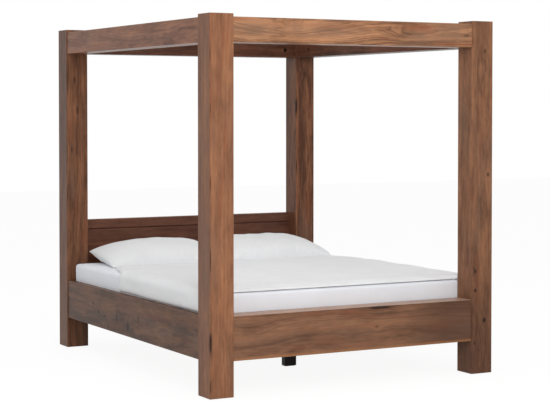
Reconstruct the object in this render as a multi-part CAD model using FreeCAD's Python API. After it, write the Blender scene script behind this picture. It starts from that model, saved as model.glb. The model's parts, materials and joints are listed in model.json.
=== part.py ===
import FreeCAD, Part
import os

# Four poster canopy bed, super king size, in millimetres.
# The foot end faces -Y, the head end +Y, and left is -X as seen from the foot.
# The origin is on the floor, under the middle of the bed.

X = FreeCAD.Vector(1, 0, 0)
Y = FreeCAD.Vector(0, 1, 0)
Z = FreeCAD.Vector(0, 0, 1)
SIDES = {"left": -1, "right": 1}
ENDS = {"foot": -1, "head": 1}

# Mattress, which the whole bed is built around
mattress_width = 1800.0
mattress_length = 2000.0
mattress_thickness = 216.0
mattress_corner = 45.0
mattress_edge = 16.0
mattress_side_gap = 2.0
mattress_end_gap = 7.0
soft_gap = 0.3
sheet_thickness = 1.0
sheet_hem_height = 22.0

# Posts
post_size = 148.0
bed_height = 2120.0
face_inset = 5.0
edge_round = 2.5

# Canopy beams
beam_height = 141.0
beam_top_drop = 17.0

# Bed rails
rail_bottom = 202.0
rail_height = 249.0
side_rail_thickness = 40.0

# Headboard
headboard_top = 845.0
top_rail_height = 62.0
top_rail_depth = 45.0
panel_thickness = 35.0
panel_side_gap = 1.0
panel_shadow_gap = 5.0
tongue_thickness = 12.0
tongue_length = 8.0
tongue_gap = 0.3

# Slats and what carries them
mattress_recess = 106.0
slat_count = 14
slat_width = 70.0
slat_thickness = 20.0
slat_end_gap = 20.0
slat_side_gap = 2.0
ledger_width = 30.0
ledger_height = 40.0
ledger_end_gap = 3.0
centre_beam_width = 45.0
centre_beam_height = 90.0
centre_beam_end_gap = 1.0
leg_width = 80.0
leg_depth = 45.0
leg_cheek_rise = 60.0
leg_slot_gap = 0.3

# Felt pads
pad_thickness = 3.0
pad_margin = 20.0
leg_pad_margin = 6.0

# Studs, with a half-moon washer and a nut in a pocket bored from the inner face
stud_radius = 4.0
stud_slack = 0.5
stud_meeting_gap = 20.0
stud_overrun = 2.0
pocket_setback = 84.0
side_beam_pocket_setback = 170.0
pocket_radius = 13.0
pocket_back = 12.0
washer_thickness = 8.0
washer_height = 18.0
nut_width = 13.0
nut_height = 6.5
canopy_stud_rise = 51.0
rail_stud_margin = 60.0

# Dowels
dowel_radius = 5.0
dowel_reach = 40.0
canopy_dowel_drop = 41.0
headboard_dowel_margin = 18.0

# Screws and bolts
fit_gap = 0.1
screw_radius = 2.2
screw_head_radius = 4.5
screw_head_height = 2.5
ledger_screw_length = 55.0
slat_screw_length = 42.0
bracket_screw_length = 30.0
bracket_screw_margin = 16.0
leg_bolt_head_radius = 9.0
leg_bolt_head_height = 4.5

# Centre beam hangers
steel = 3.0
hanger_depth = 50.0
hanger_height = 70.0
hanger_flange = 26.0
hanger_gap = 0.3

# Duvet and pillows
duvet_thickness = 24.0
duvet_side_clearance = 5.0
duvet_hem_clearance = 4.0
duvet_foot_clearance = 3.0
duvet_pillow_gap = 22.0
duvet_drop_setback = 355.0
pillow_width = 828.0
pillow_depth = 420.0
pillow_post_gap = 4.0
pillow_crest = 162.0
pillow_front_height = 48.0
pillow_back_rise = 62.0
pillow_back_height = 78.0
pillow_back_slope = 75.0
pillow_round = 22.0
pillow_gap = 5.0
pillow_gap_x = 34.5

# What follows from the sizes above
side_clear = mattress_width / 2 + mattress_side_gap
half_width = side_clear + side_rail_thickness + face_inset
half_length = mattress_length / 2 + mattress_end_gap + post_size
timber_depth = post_size - 2 * face_inset
post_inner_x = half_width - post_size
post_inner_y = half_length - post_size
end_outer_y = half_length - face_inset
end_inner_y = end_outer_y - timber_depth
side_outer_x = half_width - face_inset
beam_top = bed_height - beam_top_drop
beam_bottom = beam_top - beam_height
rail_top = rail_bottom + rail_height
slat_top = rail_top - mattress_recess
ledger_top = slat_top - slat_thickness
stud_embed = post_size / 2 - stud_meeting_gap
washer_flat = pocket_radius - washer_thickness
mattress_bottom = slat_top + soft_gap
mattress_top = mattress_bottom + mattress_thickness
sheet_outset = soft_gap + sheet_thickness
sheet_top = mattress_top + sheet_outset
pillow_back_y = post_inner_y - pillow_post_gap
pillow_front_y = pillow_back_y - pillow_depth

parts = {}
cutters = {}


def add(name, shape):
    """Keep a finished sub-part under its node name."""
    parts[name] = shape
    cutters[name] = []


def add_group(name, solids):
    """Keep like pieces as one node of separate solids."""
    add(name, Part.makeCompound(solids))


def box(low, high):
    """A block between two corners, given in any order."""
    start = FreeCAD.Vector(*[min(a, b) for a, b in zip(low, high)])
    size = [abs(b - a) for a, b in zip(low, high)]
    return Part.makeBox(*size, start)


def edges_along(shape, axis):
    """The straight edges of a shape that run along an axis."""
    found = []
    for edge in shape.Edges:
        run = edge.Vertexes[-1].Point - edge.Vertexes[0].Point
        if run.Length > 0 and abs(run.dot(axis)) > 0.999 * run.Length:
            found.append(edge)
    return found


def timber(low, high, axis):
    """A squared timber with its long edges eased."""
    blank = box(low, high)
    return blank.makeFillet(edge_round, edges_along(blank, axis))


def rod(radius, length, start, direction):
    return Part.makeCylinder(radius, length, start, direction)


def block_about(centre, along, out, length, height, width):
    """A block with its middle at a point, sized along two directions and across them."""
    across = along.cross(out)
    corner = along * (length / 2) + out * (height / 2) + across * (width / 2)
    return box(tuple(centre - corner), tuple(centre + corner))


def hex_nut(start, direction, across):
    """A nut whose bearing face is at start, bored for the stud."""
    corner_radius = nut_width / 3 ** 0.5
    points = []
    for step in range(7):
        turn = FreeCAD.Rotation(direction, 60 * step)
        points.append(start + turn.multVec(across * corner_radius))
    prism = Part.Face(Part.makePolygon(points)).extrude(direction * nut_height)
    return prism.cut(rod(stud_radius, nut_height, start, direction))


def stud_joint(post, member, at, along, out, face_distance, kit, setback=pocket_setback):
    """Bolt a timber's end to a post, from a pocket in the timber's inner face.

    at is on the post's face, along points into the timber, and out points from the
    stud's line to the inner face, face_distance away. The pocket is setback from the post.
    """
    pocket_centre = at + along * setback
    pocket_floor = pocket_centre - out * pocket_back
    pocket = rod(pocket_radius, pocket_back + face_distance, pocket_floor, out)
    bore = rod(stud_radius + stud_slack, setback, at, along)
    cutters[member] += [pocket, bore]
    socket_length = stud_embed + fit_gap
    cutters[post].append(rod(stud_radius + fit_gap, socket_length, at, -along))

    stud_end = setback - washer_flat + nut_height + stud_overrun
    kit["studs"].append(rod(stud_radius, stud_embed + stud_end, at - along * stud_embed, along))

    washer_start = pocket_centre - out * (washer_height / 2)
    disc = rod(pocket_radius - fit_gap, washer_height, washer_start, out)
    keep_centre = pocket_centre - along * (washer_flat + pocket_radius)
    keep = block_about(keep_centre, along, out, 2 * pocket_radius, washer_height, 2 * pocket_radius)
    kit["washers"].append(disc.common(keep).cut(bore))

    seat = pocket_centre - along * washer_flat
    kit["nuts"].append(hex_nut(seat, along, out))


def dowel_joint(post, member, at, along, kit):
    """A wooden dowel across the joint face, half in the post and half in the timber."""
    kit["dowels"].append(rod(dowel_radius, 2 * dowel_reach, at - along * dowel_reach, along))
    hole_length = dowel_reach + fit_gap
    cutters[post].append(rod(dowel_radius + fit_gap, hole_length, at, -along))
    cutters[member].append(rod(dowel_radius + fit_gap, hole_length, at, along))


def screw(at, into, length, sunk):
    """A wood screw with its head on, or sunk flush into, the surface at a point."""
    if sunk:
        head = Part.makeCone(screw_head_radius, screw_radius, screw_head_height, at, into)
        return head.fuse(rod(screw_radius, length, at, into)).removeSplitter()
    head = rod(screw_head_radius, screw_head_height, at, -into)
    return head.fuse(rod(screw_radius, length, at, into)).removeSplitter()


def screw_hole(at, into, length, sunk):
    """The hole that a screw leaves, a little wider than the screw."""
    hole = rod(screw_radius + fit_gap, length + fit_gap, at, into)
    if not sunk:
        return hole
    cone = Part.makeCone(
        screw_head_radius + fit_gap, screw_radius + fit_gap, screw_head_height, at, into
    )
    return hole.fuse(cone)


def make_posts():
    for end, end_sign in ENDS.items():
        for side, side_sign in SIDES.items():
            low = (side_sign * post_inner_x, end_sign * post_inner_y, pad_thickness)
            high = (side_sign * half_width, end_sign * half_length, bed_height)
            blank = box(low, high)
            add(f"post_{end}_{side}", blank.makeFillet(edge_round, blank.Edges))


def make_post_pads():
    """A felt pad under each post."""
    pads = []
    for end_sign in ENDS.values():
        for side_sign in SIDES.values():
            low_x = side_sign * (post_inner_x + pad_margin)
            high_x = side_sign * (half_width - pad_margin)
            low_y = end_sign * (post_inner_y + pad_margin)
            high_y = end_sign * (half_length - pad_margin)
            pads.append(box((low_x, low_y, 0), (high_x, high_y, pad_thickness)))
    add_group("post_pads", pads)


def make_canopy():
    """Four beams between the posts' tops, each held by a stud and a dowel at both ends."""
    kit = {"studs": [], "washers": [], "nuts": [], "dowels": []}
    stud_z = beam_bottom + canopy_stud_rise
    dowel_z = beam_top - canopy_dowel_drop
    for end, end_sign in ENDS.items():
        name = f"canopy_beam_{end}"
        low = (-post_inner_x, end_sign * end_inner_y, beam_bottom)
        high = (post_inner_x, end_sign * end_outer_y, beam_top)
        add(name, timber(low, high, X))
        for side, side_sign in SIDES.items():
            post = f"post_{end}_{side}"
            line_y = end_sign * (end_inner_y + timber_depth / 2)
            at = FreeCAD.Vector(side_sign * post_inner_x, line_y, stud_z)
            stud_joint(post, name, at, X * -side_sign, Y * -end_sign, timber_depth / 2, kit)
            at = FreeCAD.Vector(side_sign * post_inner_x, line_y, dowel_z)
            dowel_joint(post, name, at, X * -side_sign, kit)
    for side, side_sign in SIDES.items():
        name = f"canopy_beam_{side}"
        inner_x = side_outer_x - timber_depth
        low = (side_sign * inner_x, -post_inner_y, beam_bottom)
        high = (side_sign * side_outer_x, post_inner_y, beam_top)
        add(name, timber(low, high, Y))
        for end, end_sign in ENDS.items():
            post = f"post_{end}_{side}"
            line_x = side_sign * (inner_x + timber_depth / 2)
            at = FreeCAD.Vector(line_x, end_sign * post_inner_y, stud_z)
            inward = X * -side_sign
            setback = side_beam_pocket_setback
            stud_joint(post, name, at, Y * -end_sign, inward, timber_depth / 2, kit, setback)
            at = FreeCAD.Vector(line_x, end_sign * post_inner_y, dowel_z)
            dowel_joint(post, name, at, Y * -end_sign, kit)
    for piece, solids in kit.items():
        add_group(f"canopy_{piece}", solids)


def make_rails():
    """Four rails between the posts, each end with two studs and a dowel between them."""
    kit = {"studs": [], "washers": [], "nuts": [], "dowels": []}
    stud_heights = (rail_bottom + rail_stud_margin, rail_top - rail_stud_margin)
    dowel_z = (rail_bottom + rail_top) / 2
    for end, end_sign in ENDS.items():
        name = f"{end}_rail"
        low = (-post_inner_x, end_sign * end_inner_y, rail_bottom)
        high = (post_inner_x, end_sign * end_outer_y, rail_top)
        add(name, timber(low, high, X))
        for side, side_sign in SIDES.items():
            post = f"post_{end}_{side}"
            line_y = end_sign * (end_inner_y + timber_depth / 2)
            for stud_z in stud_heights:
                at = FreeCAD.Vector(side_sign * post_inner_x, line_y, stud_z)
                stud_joint(post, name, at, X * -side_sign, Y * -end_sign, timber_depth / 2, kit)
            at = FreeCAD.Vector(side_sign * post_inner_x, line_y, dowel_z)
            dowel_joint(post, name, at, X * -side_sign, kit)
    for side, side_sign in SIDES.items():
        name = f"side_rail_{side}"
        low = (side_sign * side_clear, -post_inner_y, rail_bottom)
        high = (side_sign * side_outer_x, post_inner_y, rail_top)
        add(name, timber(low, high, Y))
        half_rail = side_rail_thickness / 2
        for end, end_sign in ENDS.items():
            post = f"post_{end}_{side}"
            line_x = side_sign * (side_clear + half_rail)
            for stud_z in stud_heights:
                at = FreeCAD.Vector(line_x, end_sign * post_inner_y, stud_z)
                stud_joint(post, name, at, Y * -end_sign, X * -side_sign, half_rail, kit)
            at = FreeCAD.Vector(line_x, end_sign * post_inner_y, dowel_z)
            dowel_joint(post, name, at, Y * -end_sign, kit)
    for piece, solids in kit.items():
        add_group(f"rail_{piece}", solids)


def make_headboard():
    """A top rail dowelled between the head posts, over a panel held by two tongues."""
    kit = {"dowels": []}
    back_y = end_outer_y
    front_y = back_y - top_rail_depth
    middle_y = (front_y + back_y) / 2
    bottom = headboard_top - top_rail_height
    low = (-post_inner_x, front_y, bottom)
    add("headboard_top_rail", timber(low, (post_inner_x, back_y, headboard_top), X))
    for side, side_sign in SIDES.items():
        for height in (bottom + headboard_dowel_margin, headboard_top - headboard_dowel_margin):
            at = FreeCAD.Vector(side_sign * post_inner_x, middle_y, height)
            dowel_joint(f"post_head_{side}", "headboard_top_rail", at, X * -side_sign, kit)
    add_group("headboard_dowels", kit["dowels"])

    half_panel = panel_thickness / 2
    half_tongue = tongue_thickness / 2
    end_x = post_inner_x - panel_side_gap
    panel_top = bottom - panel_shadow_gap
    low = (-end_x, middle_y - half_panel, rail_top)
    board = timber(low, (end_x, middle_y + half_panel, panel_top), X)
    low = (-end_x, middle_y - half_tongue, rail_top - tongue_length)
    tongue = box(low, (end_x, middle_y + half_tongue, bottom + tongue_length))
    add("headboard_panel", board.fuse(tongue))

    half_groove = half_tongue + tongue_gap
    groove_depth = tongue_length + tongue_gap
    low = (-post_inner_x, middle_y - half_groove, bottom)
    high = (post_inner_x, middle_y + half_groove, bottom + groove_depth)
    cutters["headboard_top_rail"].append(box(low, high))
    low = (-post_inner_x, middle_y - half_groove, rail_top - groove_depth)
    high = (post_inner_x, middle_y + half_groove, rail_top)
    cutters["head_rail"].append(box(low, high))


def slat_positions():
    """The slats' middles along the bed, evenly spread between the end rails."""
    reach = end_inner_y - slat_end_gap - slat_width / 2
    pitch = 2 * reach / (slat_count - 1)
    return [-reach + pitch * index for index in range(slat_count)]


def make_ledgers():
    """Cleats screwed inside the side rails, which carry the slats' ends."""
    middles = slat_positions()
    screws = []
    for side, side_sign in SIDES.items():
        name = f"slat_ledger_{side}"
        inner_x = side_clear - ledger_width
        end_y = post_inner_y - ledger_end_gap
        low = (side_sign * inner_x, -end_y, ledger_top - ledger_height)
        add(name, box(low, (side_sign * side_clear, end_y, ledger_top)))
        for first, second in list(zip(middles, middles[1:]))[::2]:
            height = ledger_top - ledger_height / 2
            at = FreeCAD.Vector(side_sign * inner_x, (first + second) / 2, height)
            screws.append(screw(at, X * side_sign, ledger_screw_length, True))
            hole = screw_hole(at, X * side_sign, ledger_screw_length, True)
            cutters[name].append(hole)
            cutters[f"side_rail_{side}"].append(hole)
    add_group("ledger_screws", screws)


def make_slats():
    screws = []
    half_slat = side_clear - slat_side_gap
    for number, middle in enumerate(slat_positions(), 1):
        name = f"slat_{number:02d}"
        low = (-half_slat, middle - slat_width / 2, ledger_top)
        add(name, timber(low, (half_slat, middle + slat_width / 2, slat_top), X))
        for side, side_sign in SIDES.items():
            at = FreeCAD.Vector(side_sign * (side_clear - ledger_width / 2), middle, slat_top)
            screws.append(screw(at, -Z, slat_screw_length, True))
            hole = screw_hole(at, -Z, slat_screw_length, True)
            cutters[name].append(hole)
            cutters[f"slat_ledger_{side}"].append(hole)
    add_group("slat_screws", screws)


def make_centre_beam():
    """A beam along the middle under the slats, in a steel hanger on each end rail."""
    half_beam = centre_beam_width / 2
    end_y = end_inner_y - centre_beam_end_gap
    bottom = ledger_top - centre_beam_height
    add("centre_beam", box((-half_beam, -end_y, bottom), (half_beam, end_y, ledger_top)))
    screws = []
    inner_x = half_beam + hanger_gap
    outer_x = inner_x + steel
    flange_x = outer_x + hanger_flange
    low_z = bottom - steel
    high_z = low_z + hanger_height
    for end, end_sign in ENDS.items():
        face_y = end_sign * end_inner_y
        reach_y = end_sign * (end_inner_y - hanger_depth)
        flange_y = end_sign * (end_inner_y - steel)
        hanger = box((-outer_x, face_y, low_z), (outer_x, reach_y, bottom))
        for side_sign in SIDES.values():
            cheek = box((side_sign * inner_x, face_y, low_z), (side_sign * outer_x, reach_y, high_z))
            flange = box((side_sign * inner_x, face_y, low_z), (side_sign * flange_x, flange_y, high_z))
            hanger = hanger.fuse(cheek).fuse(flange)
        name = f"centre_beam_hanger_{end}"
        add(name, hanger.removeSplitter())
        for side_sign in SIDES.values():
            for height in (low_z + bracket_screw_margin, high_z - bracket_screw_margin):
                screw_x = side_sign * (outer_x + hanger_flange / 2)
                at = FreeCAD.Vector(screw_x, flange_y, height)
                screws.append(screw(at, Y * end_sign, bracket_screw_length, False))
                hole = screw_hole(at, Y * end_sign, bracket_screw_length, False)
                cutters[name].append(hole)
                cutters[f"{end}_rail"].append(hole)
    add_group("hanger_screws", screws)


def make_centre_legs():
    """Two legs at the thirds of the centre beam, slotted over it and bolted through."""
    bolts = []
    nuts = []
    pads = []
    bottom = ledger_top - centre_beam_height
    half_leg = leg_width / 2
    half_slot = centre_beam_width / 2 + leg_slot_gap
    bolt_z = bottom + leg_cheek_rise / 2
    for end, end_sign in ENDS.items():
        name = f"centre_leg_{end}"
        middle = end_sign * end_inner_y / 3
        front = middle - leg_depth / 2
        back = middle + leg_depth / 2
        top = bottom + leg_cheek_rise
        blank = timber((-half_leg, front, pad_thickness), (half_leg, back, top), Z)
        add(name, blank.cut(box((-half_slot, front, bottom), (half_slot, back, top))))
        head_start = FreeCAD.Vector(-half_leg, middle, bolt_z)
        hole = rod(stud_radius + fit_gap, leg_width, head_start, X)
        cutters[name].append(hole)
        cutters["centre_beam"].append(hole)
        shank = rod(stud_radius, leg_width + nut_height + stud_overrun, head_start, X)
        head = rod(leg_bolt_head_radius, leg_bolt_head_height, head_start, -X)
        bolts.append(head.fuse(shank).removeSplitter())
        nuts.append(hex_nut(FreeCAD.Vector(half_leg, middle, bolt_z), X, Z))
        low = (-half_leg + leg_pad_margin, front + leg_pad_margin, 0)
        pads.append(box(low, (half_leg - leg_pad_margin, back - leg_pad_margin, pad_thickness)))
    add_group("leg_bolts", bolts)
    add_group("leg_nuts", nuts)
    add_group("leg_pads", pads)


def cushion(half_x, half_y, low_z, high_z, corner, edge):
    """A block with rounded corners in plan and soft edges."""
    blank = box((-half_x, -half_y, low_z), (half_x, half_y, high_z))
    blank = blank.makeFillet(corner, edges_along(blank, Z))
    rims = [edge for edge in blank.Edges if abs(edge.BoundBox.ZLength) < 1e-6]
    return blank.makeFillet(edge, rims)


def make_mattress():
    """The mattress in its well, and the fitted sheet over its top and sides."""
    half_x = mattress_width / 2
    half_y = mattress_length / 2
    low = mattress_bottom
    top = mattress_top
    add("mattress", cushion(half_x, half_y, low, top, mattress_corner, mattress_edge))
    shells = []
    for grow in (sheet_outset, soft_gap):
        corner = mattress_corner + grow
        edge = mattress_edge + grow
        shells.append(cushion(half_x + grow, half_y + grow, low - grow, top + grow, corner, edge))
    sheet = shells[0].cut(shells[1])
    reach = half_x + half_y
    below = box((-reach, -reach, low - reach), (reach, reach, low + sheet_hem_height))
    add("fitted_sheet", sheet.cut(below))


def make_duvet():
    """A thin duvet on the mattress, hanging over both sides down to the rails."""
    inner_x = mattress_width / 2 + duvet_side_clearance
    outer_x = inner_x + duvet_thickness
    foot_y = -post_inner_y + duvet_foot_clearance
    low_z = sheet_top + soft_gap
    high_z = low_z + duvet_thickness
    head_y = pillow_front_y - duvet_pillow_gap
    hem_z = rail_top + duvet_hem_clearance
    duvet = box((-inner_x, foot_y, low_z), (inner_x, head_y, high_z))
    for side_sign in SIDES.values():
        low = (side_sign * inner_x, foot_y, hem_z)
        drop = box(low, (side_sign * outer_x, head_y - duvet_drop_setback, high_z))
        duvet = duvet.fuse(drop)
    add("duvet", duvet.removeSplitter())


def make_pillows():
    """Two plump pillows at the head end, between the posts, highest towards the back."""
    low_z = sheet_top + soft_gap
    back_y = pillow_back_y
    front_y = pillow_front_y
    reach = (pillow_gap + pillow_width) / 2
    for side, centre in (("left", pillow_gap_x - reach), ("right", pillow_gap_x + reach)):
        start_x = centre - pillow_width / 2
        outline = [
            (front_y, low_z),
            (front_y, low_z + pillow_front_height),
            ((front_y + back_y) / 2, low_z + pillow_crest),
            (back_y - pillow_back_slope, low_z + pillow_crest),
            (back_y, low_z + pillow_back_rise + pillow_back_height),
            (back_y, low_z + pillow_back_rise),
            (back_y - pillow_back_slope, low_z),
            (front_y, low_z),
        ]
        points = [FreeCAD.Vector(start_x, y, z) for y, z in outline]
        blank = Part.Face(Part.makePolygon(points)).extrude(X * pillow_width)
        add(f"pillow_{side}", blank.makeFillet(pillow_round, blank.Edges))


make_posts()
make_post_pads()
make_canopy()
make_rails()
make_headboard()
make_ledgers()
make_slats()
make_centre_beam()
make_centre_legs()
make_mattress()
make_duvet()
make_pillows()

os.makedirs("parts", exist_ok=True)
for name, shape in parts.items():
    if cutters[name]:
        shape = shape.cut(cutters[name])
    shape.exportStep(f"parts/{name}.step")
    print(name, len(shape.Solids), shape.isValid(), round(shape.Volume / 1e6, 3))
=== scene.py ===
import json
import math

import bpy
import numpy as np
from bpy.props import FloatProperty, FloatVectorProperty, IntProperty, PointerProperty
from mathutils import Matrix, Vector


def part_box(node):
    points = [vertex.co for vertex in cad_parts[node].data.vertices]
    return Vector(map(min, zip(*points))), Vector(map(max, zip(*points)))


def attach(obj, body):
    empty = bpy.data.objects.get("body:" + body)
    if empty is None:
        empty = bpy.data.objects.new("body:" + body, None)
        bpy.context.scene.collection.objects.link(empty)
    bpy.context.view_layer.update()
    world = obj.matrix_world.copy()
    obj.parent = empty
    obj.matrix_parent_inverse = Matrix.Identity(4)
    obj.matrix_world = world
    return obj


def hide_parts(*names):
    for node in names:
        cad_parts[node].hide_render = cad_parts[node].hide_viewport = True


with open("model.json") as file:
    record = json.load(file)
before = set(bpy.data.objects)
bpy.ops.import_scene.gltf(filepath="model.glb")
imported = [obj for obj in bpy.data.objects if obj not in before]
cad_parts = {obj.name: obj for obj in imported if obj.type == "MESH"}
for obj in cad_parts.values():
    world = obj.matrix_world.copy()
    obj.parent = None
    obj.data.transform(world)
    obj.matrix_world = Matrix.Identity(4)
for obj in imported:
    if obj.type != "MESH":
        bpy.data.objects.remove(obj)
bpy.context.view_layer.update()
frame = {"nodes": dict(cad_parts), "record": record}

bl_info = {
    "name": "Four Poster Canopy Bed",
    "version": (1, 0, 0),
    "blender": (4, 5, 0),
    "location": "3D View > Sidebar > Bed",
    "description": "Dresses the four poster bed's frame with timber, steel and bedding",
    "category": "Object",
}


def tone(red, green, blue):
    """A display colour from 0 to 255 as linear light, by the sRGB curve."""
    shown = np.array([red, green, blue]) / 255
    light = np.where(shown <= 0.04045, shown / 12.92, ((shown + 0.055) / 1.055) ** 2.4)
    return tuple(float(value) for value in light)


WHITE = (1.0, 1.0, 1.0, 1.0)


# Shader maths


class Value:
    """An output of a node; arithmetic on it adds Math nodes."""

    def __init__(self, maker, node, output=0):
        self.maker = maker
        self.node = node
        self.output = output

    @property
    def socket(self):
        return self.node.outputs[self.output]

    def other(self, output):
        """Another output of the same node."""
        return Value(self.maker, self.node, output)

    def _math(self, operation, *values):
        inputs = dict(enumerate(values))
        return self.maker.node("ShaderNodeMath", {"operation": operation}, inputs)

    def __add__(self, other):
        return self._math("ADD", self, other)

    def __radd__(self, other):
        return self._math("ADD", other, self)

    def __sub__(self, other):
        return self._math("SUBTRACT", self, other)

    def __rsub__(self, other):
        return self._math("SUBTRACT", other, self)

    def __mul__(self, other):
        return self._math("MULTIPLY", self, other)

    def __rmul__(self, other):
        return self._math("MULTIPLY", other, self)

    def __truediv__(self, other):
        return self._math("DIVIDE", self, other)

    def __rtruediv__(self, other):
        return self._math("DIVIDE", other, self)

    def root(self):
        return self._math("SQRT", self)

    def sine(self):
        return self._math("SINE", self)

    def most(self, other):
        return self._math("MAXIMUM", self, other)

    def rise(self, low, high):
        """0 below low, 1 above high and a smooth step between; high may be the lower one."""
        settings = {"interpolation_type": "SMOOTHSTEP", "clamp": True}
        inputs = {"Value": self, "From Min": min(low, high), "From Max": max(low, high)}
        if high < low:
            inputs.update({"To Min": 1.0, "To Max": 0.0})
        return self.maker.node("ShaderNodeMapRange", settings, inputs)


class NodeMaker:
    """The nodes of a material or of the room. node() adds any node and links its inputs."""

    def __init__(self, tree):
        self.tree = tree
        tree.nodes.clear()

    def node(self, kind, settings=None, inputs=None, output=0):
        """Adds a node, sets it, then gives its sockets numbers, colours or other outputs.

        A colour ramp's setting "stops" is a list of (place, colour).
        """
        node = self.tree.nodes.new(kind)
        for key, value in (settings or {}).items():
            if key == "stops":
                self.set_stops(node.color_ramp.elements, value)
            else:
                setattr(node, key, value)
        self.feed(node, inputs or {})
        return Value(self, node, output)

    def set_stops(self, elements, stops):
        while len(elements) < len(stops):
            elements.new(0.5)
        for element, (place, colour) in zip(elements, stops):
            element.position = place
            element.color = (*colour, 1.0)

    def feed(self, node, inputs):
        """Links or sets a node's sockets, by name or number."""
        for key, value in inputs.items():
            if isinstance(value, Value):
                self.tree.links.new(value.socket, node.inputs[key])
            else:
                node.inputs[key].default_value = value


class Finish(NodeMaker):
    """A material being made, with its shader and its end node."""

    def __init__(self, name):
        self.material = bpy.data.materials.new(name)
        self.material.use_nodes = True
        super().__init__(self.material.node_tree)
        self.shader = self.node("ShaderNodeBsdfPrincipled")
        self.end = self.node("ShaderNodeOutputMaterial", inputs={"Surface": self.shader})

    def surface(self, **inputs):
        """Sets or links the shader's own sockets, with underscores for the spaces."""
        named = {key.replace("_", " "): value for key, value in inputs.items()}
        self.feed(self.shader.node, named)

    def place(self):
        """The three Object coordinates, in metres."""
        coordinates = self.node("ShaderNodeTexCoord", output="Object")
        parts = self.node("ShaderNodeSeparateXYZ", inputs={0: coordinates})
        return [parts.other(index) for index in range(3)]

    def noise(self, x, y, z, detail=2.0, roughness=0.5):
        """Soft noise from 0 to 1 over three values, one cell to a unit."""
        vector = self.node("ShaderNodeCombineXYZ", inputs={0: x, 1: y, 2: z})
        inputs = {"Vector": vector, "Scale": 1.0, "Detail": detail, "Roughness": roughness}
        return self.node("ShaderNodeTexNoise", {"noise_dimensions": "3D"}, inputs)

    def line_noise(self, value, detail=2.0, roughness=0.5):
        """Soft noise from 0 to 1 along one value, one cell to a unit."""
        inputs = {"W": value, "Scale": 1.0, "Detail": detail, "Roughness": roughness}
        return self.node("ShaderNodeTexNoise", {"noise_dimensions": "1D"}, inputs)

    def blend(self, factor, first, second):
        """first where factor is 0 and second where it is 1, for colours."""
        inputs = {0: factor}
        for key, value in ((6, first), (7, second)):
            inputs[key] = value if isinstance(value, Value) else (*value[:3], 1.0)
        return self.node("ShaderNodeMix", {"data_type": "RGBA"}, inputs, output=2)

    def ramp(self, value, stops):
        """A colour ramp through (place, colour) stops."""
        return self.node("ShaderNodeValToRGB", {"stops": stops}, {0: value})

    def bump(self, height, distance, strength=1.0, **more):
        """A normal tilted by a height of 0 to 1, which stands for the distance in metres."""
        inputs = {"Height": height, "Distance": distance, "Strength": strength, **more}
        return self.node("ShaderNodeBump", inputs=inputs)


# Noise in a board: cells to the metre along and across the grain, detail and roughness
GRAIN = {
    "slow": (0.7, 1.6, 2.0, 0.5),
    "sway": (3.1, 7.0, 2.0, 0.5),
    "ripple": (16.0, 26.0, 1.0, 0.5),
    "streak": (3.4, 42.0, 3.0, 0.62),
    "fleck": (13.0, 70.0, 2.0, 0.6),
    "fibre": (8.0, 330.0, 2.0, 0.6),
    "pores": (26.0, 560.0, 1.0, 0.5),
    "blotch": (3.2, 10.0, 3.0, 0.6),
    "tint": (1.6, 7.0, 2.0, 0.5),
    "blush": (2.6, 24.0, 2.0, 0.5),
}
# How much each kind of figure adds to a board's light and dark
RING_SHARE = 0.34
BROAD_SHARE = 0.40
STREAK_SHARE = 0.55
FIBRE_SHARE = 0.30
BLOTCH_SHARE = 0.75
FLECK_SHARE = 0.40
# Where a mark's masks end and are full, as multiples of its half sizes
MARK_EDGES = {
    "core": (1.1, 0.55), "halo": (2.4, 0.8), "eye": (1.1, 0.55), "rim": (2.6, 1.3),
    "swell": (4.5, 0.5),
}
# How deep below its face a mark ends, and down to where it is full
FACE_DEPTHS = (0.018, 0.006)
# Half width above which a mark bends the rings, and the furthest that it moves them
THINNEST_SWELLING_MARK = 0.004
LARGEST_SWELL = 0.030
# How much the pith line leans, and how far slow noise bends the rings
PITH_LEAN = 0.02
RING_BEND = 0.09
KNOT_BLACK = tone(30, 22, 19)
EYE_RIM = tone(188, 146, 116)
EYE_HEART = tone(130, 99, 78)
DULL_GREY = tone(112, 98, 88)


def timber_marks(place, axis, marks, middle, half, sway, ripple):
    """The masks of a board's marks and how far they swell its rings.

    A mark's reach is the length of (along / half length, across / half width), made
    ragged by noise. Each mask is a smooth step of it, kept to the mark's own face.
    """
    masks = {}
    swell = None
    for face, mark_along, mark_across, half_length, half_width, depth in marks:
        across = [place[key] for key in "XYZ" if key not in (axis, face[1])][0]
        sign = -1.0 if face[0] == "-" else 1.0
        over = (place[axis] - mark_along) / half_length
        beside = (across - mark_across) / half_width
        reach = (over * over + beside * beside).root() + ripple * 0.8 + sway * 0.7
        outward = (place[face[1]] - middle[face[1]]) * sign
        outer = outward.rise(*(half[face[1]] - depth_in for depth_in in FACE_DEPTHS))
        for kind in ("eye", "rim") if depth < 0 else ("core", "halo"):
            mask = reach.rise(*MARK_EDGES[kind]) * outer * abs(depth)
            masks[kind] = masks[kind].most(mask) if kind in masks else mask
        if half_width > THINNEST_SWELLING_MARK:
            most = min(half_width * 1.6, LARGEST_SWELL)
            bulge = reach.rise(*MARK_EDGES["swell"]) * outer * most
            swell = bulge if swell is None else swell + bulge
    return masks, swell


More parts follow.
